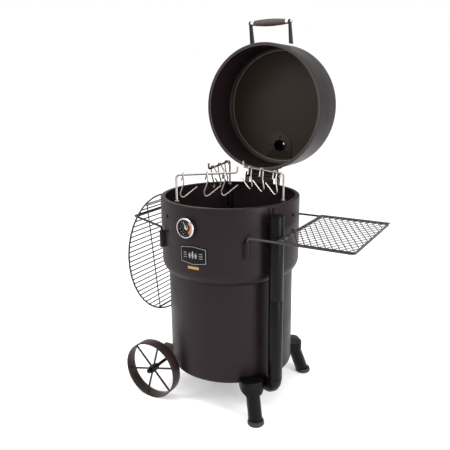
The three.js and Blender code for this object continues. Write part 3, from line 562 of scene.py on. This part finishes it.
# ---- Thermometer ----
def dial_band(inner, outer, start, end, height, steps):
    """Flat curved band lying on the dial, its angles in degrees."""
    dial_skin = 0.00005
    outline = arc(0, 0, outer, start, end, steps) + arc(0, 0, inner, end, start, steps)
    count = len(outline)
    vertices = [Vector((x, y, z)) for z in (dial_skin, height) for x, y in outline]
    faces = [[i, (i + 1) % count, count + (i + 1) % count, count + i] for i in range(count)]
    for layer in (0, count):
        for i in range(steps):
            faces.append([layer + i, layer + i + 1, layer + count - 2 - i, layer + count - 1 - i])
    return vertices, faces


def build_thermometer():
    """Dark dial with an amber arc and pale marks in the chrome case, and a domed glass over it."""
    pivot = Vector(JOINTS["needle_turn"]["pos_m"])
    outward = -Vector(JOINTS["needle_turn"]["axis"])
    sideways = Vector((-outward.y, outward.x, 0))
    case_low, case_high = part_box("thermometer_case")
    bezel = 0.0055
    radius = (case_high.z - case_low.z) / 2 - bezel
    turn = Matrix((sideways, (0, 0, 1), outward)).transposed().to_4x4()
    needle_gap = 0.0009
    glass_gap = 0.0065
    dial = Matrix.Translation(pivot - outward * needle_gap) @ turn
    plate = lathe([(0, -0.0003), (radius, -0.0003), (radius, 0.0002), (0, 0.0002)], 64)
    make_piece("dial_plate", plate, DIAL_FACE, "drum", (), dial)

    amber = dial_band(radius * 0.50, radius * 0.90, -62, 62, 0.00035, 20)
    make_piece("dial_amber_arc", amber, DIAL_AMBER, "drum", (), dial)

    mark_count = 13
    first_mark = -60
    mark_spacing = 25
    mark_half = 1.1
    mark_height = 0.0005
    marks = []
    for i in range(mark_count):
        angle = first_mark + mark_spacing * i
        inner = radius * (0.80 if i % 2 == 0 else 0.87)
        marks.append(dial_band(inner, radius * 0.94, angle - mark_half, angle + mark_half, mark_height, 1))
    marks.append(dial_band(radius * 0.20, radius * 0.24, -179, 179, mark_height, 30))
    make_piece("dial_marks", merged(*marks), DIAL_WHITE, "drum", (), dial)

    dome = [
        (0, 0.0),
        (radius * 0.6, -0.0002),
        (radius, -0.0008),
        (radius, 0.0002),
        (radius * 0.6, 0.0008),
        (0, 0.0010),
    ]
    glass_place = Matrix.Translation(pivot + outward * glass_gap) @ turn
    make_piece("dial_glass", lathe(dome, 64), GLASS, "drum", ["thermometer_lens"], glass_place)


# ---- Badge ----
def build_badge():
    """Six-sided plate in three layers, with a plain mark of three flames between short lines."""
    low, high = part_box("badge_plate")
    middle_z = (low.z + high.z) / 2
    half_width = (high.x - low.x) / 2
    half_height = (high.z - low.z) / 2
    skin = COLLAR_R + 0.0003
    end_drop = 0.2  # share of the half height by which the plate is lower at its two ends
    base, border, field, mark = 0.0014, 0.0005, 0.0004, 0.0003

    def plate(name, inset, start, thickness, material, replaced=()):
        def reach(x):
            return half_height - inset - end_drop * half_height * abs(x) / half_width

        def low_edge(x):
            return middle_z - reach(x)

        def high_edge(x):
            return middle_z + reach(x)

        shape = curved_plate(half_width - inset, low_edge, high_edge, start, thickness)
        make_piece(name, shape, material, "drum", replaced, bevel=0.0002)

    plate("badge_base", 0, skin, base, ENAMEL, ["badge_plate"])
    plate("badge_border", 0.0030, skin + base, border, BADGE_SILVER)
    plate("badge_field", 0.0048, skin + base + border, field, ENAMEL)

    def leaf(centre_x, rise, half_x, half_z):
        def reach(x):
            return half_z * max(1 - (x / half_x) ** 2, 0.02)

        def low_edge(x):
            return middle_z + rise - reach(x)

        def high_edge(x):
            return middle_z + rise + reach(x)

        start = skin + base + border + field
        vertices, faces = curved_plate(half_x, low_edge, high_edge, start, mark, 12)
        turn = Matrix.Rotation(centre_x / skin, 4, "Z")
        return [turn @ v for v in vertices], faces

    flame_half = 0.0042
    flames = [
        leaf(-0.012, -0.001, flame_half, 0.010),
        leaf(0, 0.002, flame_half, 0.014),
        leaf(0.012, -0.001, flame_half, 0.010),
    ]
    line_spacing = 0.008
    lines = []
    for centre_x in (-0.031, 0.031):
        for row in (-1, 0, 1):
            lines.append(leaf(centre_x, line_spacing * row, 0.009, 0.0012))
    make_piece("badge_mark", merged(*flames, *lines), BADGE_SILVER, "drum")


# ---- Shelf mesh ----
def inset_polygon(points, distance):
    """Convex outline moved inward by a distance, or None where a corner turns back on itself."""
    count = len(points)
    inner = []
    for k in range(count):
        before, corner, after = points[k - 1], points[k], points[(k + 1) % count]
        into = (corner - before).normalized()
        out = (after - corner).normalized()
        normal_in = Vector((-into.y, into.x))
        normal_out = Vector((-out.y, out.x))
        share = 1 + normal_in.dot(normal_out)
        if share < 0.05:
            return None
        inner.append(corner + (normal_in + normal_out) * distance / share)
    return inner


def build_shelf_mesh():
    """Expanded metal: a flat lattice of diamond holes inside a plain border."""
    low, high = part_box("shelf_mesh")
    border = 0.004
    columns, rows = 11, 9
    strand = 0.0016
    x0, y0 = low.x + border, low.y + border
    cell_x = (high.x - low.x - 2 * border) / columns
    cell_y = (high.y - low.y - 2 * border) / rows
    vertices, faces = [], []

    def add_cell(outline):
        """Frame of one strand's width inside the outline."""
        inner = inset_polygon(outline, strand)
        count = len(outline)
        start = len(vertices)
        vertices.extend([Vector((p.x, p.y, 0)) for p in outline])
        if inner is None:
            faces.append([start + i for i in range(count)])
            return
        vertices.extend([Vector((p.x, p.y, 0)) for p in inner])
        for i in range(count):
            j = (i + 1) % count
            faces.append([start + i, start + j, start + count + j, start + count + i])

    for i in range(2 * columns + 1):
        for k in range(2 * rows + 1):
            if (i + k) % 2 == 0:
                continue
            x, y = x0 + cell_x * i / 2, y0 + cell_y * k / 2
            outline = [
                Vector((x, y - cell_y / 2)),
                Vector((x + cell_x / 2, y)),
                Vector((x, y + cell_y / 2)),
                Vector((x - cell_x / 2, y)),
            ]
            if i == 0:
                outline.pop(3)
            if i == 2 * columns:
                outline.pop(1)
            if k == 0:
                outline.pop(0)
            if k == 2 * rows:
                outline.pop(2)
            add_cell(outline)

    x1, y1 = high.x - border, high.y - border
    along_x = [x0 + cell_x * i for i in range(columns + 1)]
    along_y = [y0 + cell_y * k for k in range(rows + 1)]

    def add_strip(inner_points, outer_points):
        """Plain border between two rows of points."""
        start = len(vertices)
        count = len(inner_points)
        vertices.extend([Vector((x, y, 0)) for x, y in inner_points + outer_points])
        for i in range(count - 1):
            faces.append([start + i, start + i + 1, start + count + i + 1, start + count + i])

    def stretched(values, first, last):
        """The same values with new ends, which carries a border out to the sheet's corners."""
        return [first, *values[1:-1], last]

    add_strip([(x, y0) for x in along_x], [(x, low.y) for x in stretched(along_x, low.x, high.x)])
    add_strip([(x, y1) for x in along_x], [(x, high.y) for x in stretched(along_x, low.x, high.x)])
    add_strip([(x0, y) for y in along_y], [(low.x, y) for y in stretched(along_y, low.y, high.y)])
    add_strip([(x1, y) for y in along_y], [(high.x, y) for y in stretched(along_y, low.y, high.y)])
    place = Matrix.Translation((0, 0, high.z))
    sheet = (vertices, faces)
    mesh = make_piece("shelf_lattice", sheet, ROD_COAT, "shelf", ["shelf_mesh"], place)
    solid = mesh.modifiers.new("solid", "SOLIDIFY")
    solid.thickness = high.z - low.z
    solid.offset = -1
    mesh.modifiers.move(len(mesh.modifiers) - 1, 1)


# ---- Meat hooks ----
def hook_path():
    """Middle line of a hook's wire, as (along the bar, across it, up) from the point it hangs by."""
    loop_r = 0.0070
    over = [(-0.005, loop_r + 0.009, -0.022), (0, loop_r, -0.003)]
    loop = [(0, across, up) for across, up in arc(0, 0, loop_r, 0, 180, 8)]
    shank = [(0, -loop_r, -0.003), (0.001, -0.004, -0.030), (-0.012, 0, -0.066)]
    bow = [(-0.009, 0, -0.077), (-0.002, 0, -0.080), (0.006, 0, -0.076)]
    point = (0.048, 0, -0.044)
    corners = [Vector(spot) for spot in (*over, *loop[1:-1], *shank, *bow, point)]
    return smooth_path(corners, 0.010, 5)


def build_hooks():
    """One smooth wire in place of each CAD hook."""
    wire_r = 0.0025
    path = hook_path()
    for name in sorted(JOINTS):
        if not name.startswith("hook_"):
            continue
        node = JOINTS[name]["child"]
        origin = Vector(JOINTS[name]["pos_m"])
        along = Vector(JOINTS[name]["axis"])
        across = Vector((-along.y, along.x, 0))
        wire = [origin + along * spot.x + across * spot.y + Vector((0, 0, spot.z)) for spot in path]
        # Hooks on the rear bar get the painted-shade copy of the wire.
        material = SHADED_WIRE if "rear" in node else STEEL_WIRE
        make_piece(node + "_wire", tube(wire, wire_r, 12), material, node, [node],
                   Matrix.Identity(4))


# ---- Stage, light and camera ----
def build_stage():
    """Pale floor that melts into a white world."""
    size = 30.0
    below_feet = 0.0005
    mesh = bpy.data.meshes.new("floor")
    corners = [(-size, -size, 0), (size, -size, 0), (size, size, 0), (-size, size, 0)]
    mesh.from_pydata(corners, [], [[0, 1, 2, 3]])
    floor = bpy.data.objects.new("floor", mesh)
    bpy.context.scene.collection.objects.link(floor)
    pale = surface("pale_floor", (0.86, 0.86, 0.86), 0.9, specular=0.0, mottle=0.01, grain=0.02)
    shader = pale.node_tree.nodes["Principled BSDF"]
    shader.inputs["Emission Color"].default_value = (1, 1, 1, 1)
    shader.inputs["Emission Strength"].default_value = 0.22
    mesh.materials.append(pale)
    floor.location.z = -below_feet

    world = bpy.data.worlds.new("studio")
    world.use_nodes = True
    world.node_tree.nodes["Background"].inputs["Color"].default_value = (1, 1, 1, 1)
    world.node_tree.nodes["Background"].inputs["Strength"].default_value = 1.0
    bpy.context.scene.world = world


def add_light(name, place, target, size_x, size_y, power):
    """Soft box light turned to face a target."""
    light = bpy.data.lights.new(name, "AREA")
    light.shape = "RECTANGLE"
    light.size = size_x
    light.size_y = size_y
    light.energy = power
    obj = bpy.data.objects.new(name, light)
    obj.location = place
    obj.rotation_euler = (target - place).to_track_quat("-Z", "Y").to_euler()
    bpy.context.scene.collection.objects.link(obj)


def build_lights():
    """Key light at the front left, fill on the shelf's side and a soft light from above."""
    middle = DRUM + Vector((0, 0, 0.6))
    add_light("key", DRUM + Vector((-1.6, -2.2, 2.6)), middle, 1.6, 1.6, 60)
    add_light("fill", DRUM + Vector((2.6, -0.6, 1.2)), middle, 0.8, 2.2, 70)
    add_light("top", DRUM + Vector((0, -0.3, 3.2)), middle, 2.2, 2.2, 50)


def build_camera():
    """Camera at the photo's place: a little above the rim, 30 degrees from the front to the shelf's side."""
    # Angles in radians, the lens in mm: found by laying the rim, the wheel and the feet over the photo.
    azimuth = math.radians(30.0)
    pitch = 0.26
    roll = -0.010
    distance = 2.0071
    height = RIM_Z + 0.4142
    camera = bpy.data.cameras.new("camera")
    camera.sensor_width = 36
    camera.lens = 44.5656
    camera.shift_x = -0.012
    obj = bpy.data.objects.new("camera", camera)
    spot = DRUM + Vector((distance * math.sin(azimuth), -distance * math.cos(azimuth), height))
    aim = Matrix.Rotation(azimuth, 4, "Z") @ Matrix.Rotation(math.pi / 2 - pitch, 4, "X")
    obj.matrix_world = Matrix.Translation(spot) @ aim @ Matrix.Rotation(roll, 4, "Z")
    bpy.context.scene.collection.objects.link(obj)
    bpy.context.scene.camera = obj


dress_cad_nodes()
build_barrel()
build_collar()
build_lid()
build_grip()
build_thermometer()
build_badge()
build_shelf_mesh()
build_hooks()
build_stage()
build_lights()
build_camera()
bpy.context.scene.view_settings.view_transform = "Standard"
